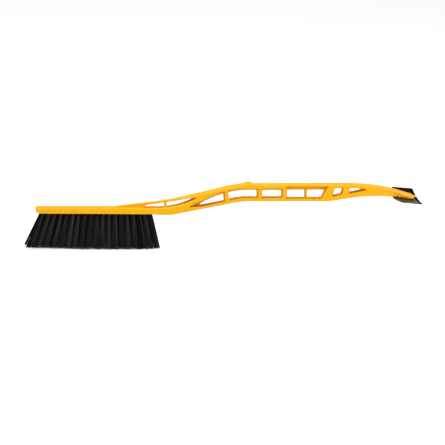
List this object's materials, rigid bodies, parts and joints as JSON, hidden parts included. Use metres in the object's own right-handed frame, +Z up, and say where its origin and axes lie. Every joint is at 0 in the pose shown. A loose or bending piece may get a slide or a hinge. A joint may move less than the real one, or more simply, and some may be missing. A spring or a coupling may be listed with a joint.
{
  "type": "snow brush with ice scraper",
  "caption": "Long snow brush with bristle tufts under a moulded block, an open truss handle and a wide scraper blade at the far end.",
  "frame": {"origin": "middle of the object's length and width, at the level of the bristle tips", "axes": "+X runs from the brush towards the scraper blade, +Y to the far side when the brush is on the left, +Z up from the bristle tips to the block"},
  "size_m": [0.6319, 0.11, 0.1074],
  "materials": {
    "yellow_plastic": "moulded yellow plastic, satin",
    "black_blade": "moulded black plastic, glossy",
    "black_bristle": "black polymer bristle"
  },
  "bodies": {
    "root": {"body": "yellow_plastic", "scraper_blade": "black_blade", "tuft_near_01": "black_bristle", "tuft_near_02": "black_bristle", "tuft_near_03": "black_bristle", "tuft_near_04": "black_bristle", "tuft_near_05": "black_bristle", "tuft_near_06": "black_bristle", "tuft_near_07": "black_bristle", "tuft_near_08": "black_bristle", "tuft_near_09": "black_bristle", "tuft_near_10": "black_bristle", "tuft_near_11": "black_bristle", "tuft_near_12": "black_bristle", "tuft_near_13": "black_bristle", "tuft_near_14": "black_bristle", "tuft_near_15": "black_bristle", "tuft_near_16": "black_bristle", "tuft_near_17": "black_bristle", "tuft_near_18": "black_bristle", "tuft_near_19": "black_bristle", "tuft_middle_01": "black_bristle", "tuft_middle_02": "black_bristle", "tuft_middle_03": "black_bristle", "tuft_middle_04": "black_bristle", "tuft_middle_05": "black_bristle", "tuft_middle_06": "black_bristle", "tuft_middle_07": "black_bristle", "tuft_middle_08": "black_bristle", "tuft_middle_09": "black_bristle", "tuft_middle_10": "black_bristle", "tuft_middle_11": "black_bristle", "tuft_middle_12": "black_bristle", "tuft_middle_13": "black_bristle", "tuft_middle_14": "black_bristle", "tuft_middle_15": "black_bristle", "tuft_middle_16": "black_bristle", "tuft_middle_17": "black_bristle", "tuft_middle_18": "black_bristle", "tuft_far_01": "black_bristle", "tuft_far_02": "black_bristle", "tuft_far_03": "black_bristle", "tuft_far_04": "black_bristle", "tuft_far_05": "black_bristle", "tuft_far_06": "black_bristle", "tuft_far_07": "black_bristle", "tuft_far_08": "black_bristle", "tuft_far_09": "black_bristle", "tuft_far_10": "black_bristle", "tuft_far_11": "black_bristle", "tuft_far_12": "black_bristle", "tuft_far_13": "black_bristle", "tuft_far_14": "black_bristle", "tuft_far_15": "black_bristle", "tuft_far_16": "black_bristle", "tuft_far_17": "black_bristle", "tuft_far_18": "black_bristle", "tuft_far_19": "black_bristle"}
  },
  "joints": []
}
